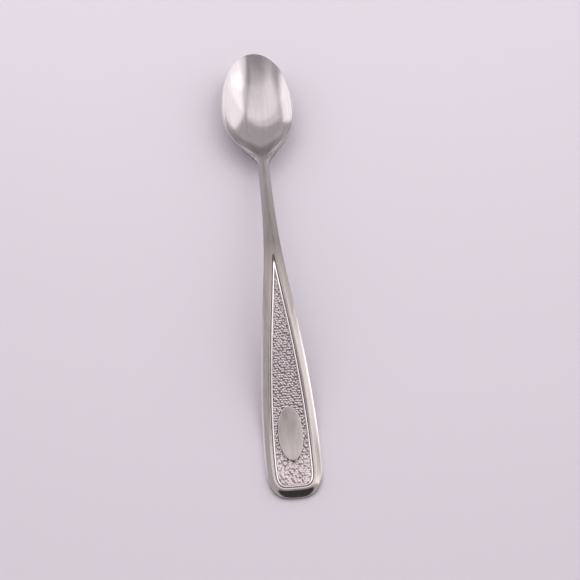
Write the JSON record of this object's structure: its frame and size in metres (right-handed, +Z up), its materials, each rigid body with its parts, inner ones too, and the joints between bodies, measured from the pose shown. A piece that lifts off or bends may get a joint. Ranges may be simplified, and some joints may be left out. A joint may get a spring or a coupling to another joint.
{
  "type": "baby spoon",
  "caption": "Slim stainless infant feeding spoon with a small egg-shaped bowl, an arched stem and a flared handle with a sunken stippled panel and a blank oval cartouche.",
  "frame": {"origin": "on the table, under the middle of the spoon's length and width", "axes": "+Y from the handle's end towards the bowl's tip, +Z up out of the bowl's mouth, +X to the right of the handle"},
  "size_m": [0.0208, 0.14, 0.0114],
  "materials": {
    "polished_steel": "mirror polished, with faint polishing lines",
    "satin_steel": "satin, buffed along the length",
    "stippled_steel": "coined with a fine pebbled stipple"
  },
  "bodies": {
    "root": {"bowl": "polished_steel", "stem": "satin_steel", "handle": "satin_steel", "bead": "polished_steel", "stippled_field": "stippled_steel", "cartouche": "satin_steel"}
  },
  "joints": []
}
